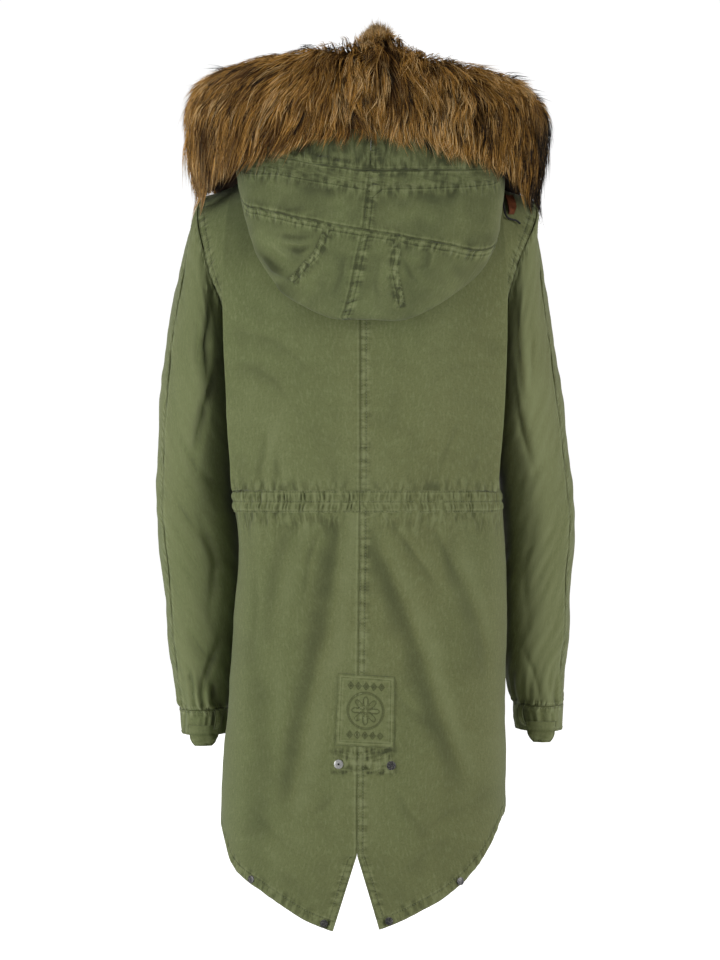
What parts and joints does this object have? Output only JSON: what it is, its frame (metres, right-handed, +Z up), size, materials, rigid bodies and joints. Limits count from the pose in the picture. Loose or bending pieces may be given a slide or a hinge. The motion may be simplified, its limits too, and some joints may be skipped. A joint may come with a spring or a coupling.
{
  "type": "hooded parka",
  "caption": "Olive cotton parka with a long fur ruff on its thrown-back hood, gathered waist and split fishtail hem, hanging filled out.",
  "frame": {"origin": "middle of the neck opening at the height of the neck ends of the shoulder seams, where the wearer's shoulders hold the coat", "axes": "+Z up, -Y the way the wearer faces, +X the wearer's left"},
  "size_m": [0.5191, 0.3713, 1.0397],
  "materials": {
    "shell_cloth": "washed olive cotton twill, matte",
    "fur": "long soft golden-brown fur with dark roots and tips",
    "bright_metal": "worn nickel",
    "dark_metal": "gunmetal",
    "leather": "smooth reddish brown",
    "cord": "black round braid",
    "zip_tape": "woven dark olive tape with a metal tooth row"
  },
  "bodies": {
    "parka": {"back_left": "shell_cloth", "back_right": "shell_cloth", "back_side_left": "shell_cloth", "back_side_right": "shell_cloth", "cuff_left": "shell_cloth", "cuff_right": "shell_cloth", "cuff_tab_left": "shell_cloth", "cuff_tab_right": "shell_cloth", "front_left": "shell_cloth", "front_right": "shell_cloth", "fur_ruff": "fur", "hem_snap_left_inner": "dark_metal", "hem_snap_left_outer": "dark_metal", "hem_snap_right_inner": "dark_metal", "hem_snap_right_outer": "dark_metal", "hood_back_left": "shell_cloth", "hood_back_right": "shell_cloth", "hood_band_left": "shell_cloth", "hood_band_right": "shell_cloth", "hood_cord_right": "cord", "hood_crown_left": "shell_cloth", "hood_crown_right": "shell_cloth", "hood_tab_right": "leather", "tail_patch": "shell_cloth", "tail_snap_left": "bright_metal", "tail_snap_right": "dark_metal", "under_sleeve_left": "shell_cloth", "under_sleeve_right": "shell_cloth", "upper_sleeve_left": "shell_cloth", "upper_sleeve_right": "shell_cloth", "waist_casing_left": "shell_cloth", "waist_casing_right": "shell_cloth", "zip_slider": "dark_metal", "zip_tape_left": "zip_tape", "zip_tape_right": "zip_tape"},
    "pull_tab": {"zip_pull_tab": "bright_metal"}
  },
  "joints": [
    {"name": "pull_tab_hinge", "type": "hinge", "parent": "parka", "child": "pull_tab", "pos_m": [0, -0.10654, -0.07389], "axis": [-1, 0, 0], "range_deg": [0, 150]}
  ]
}
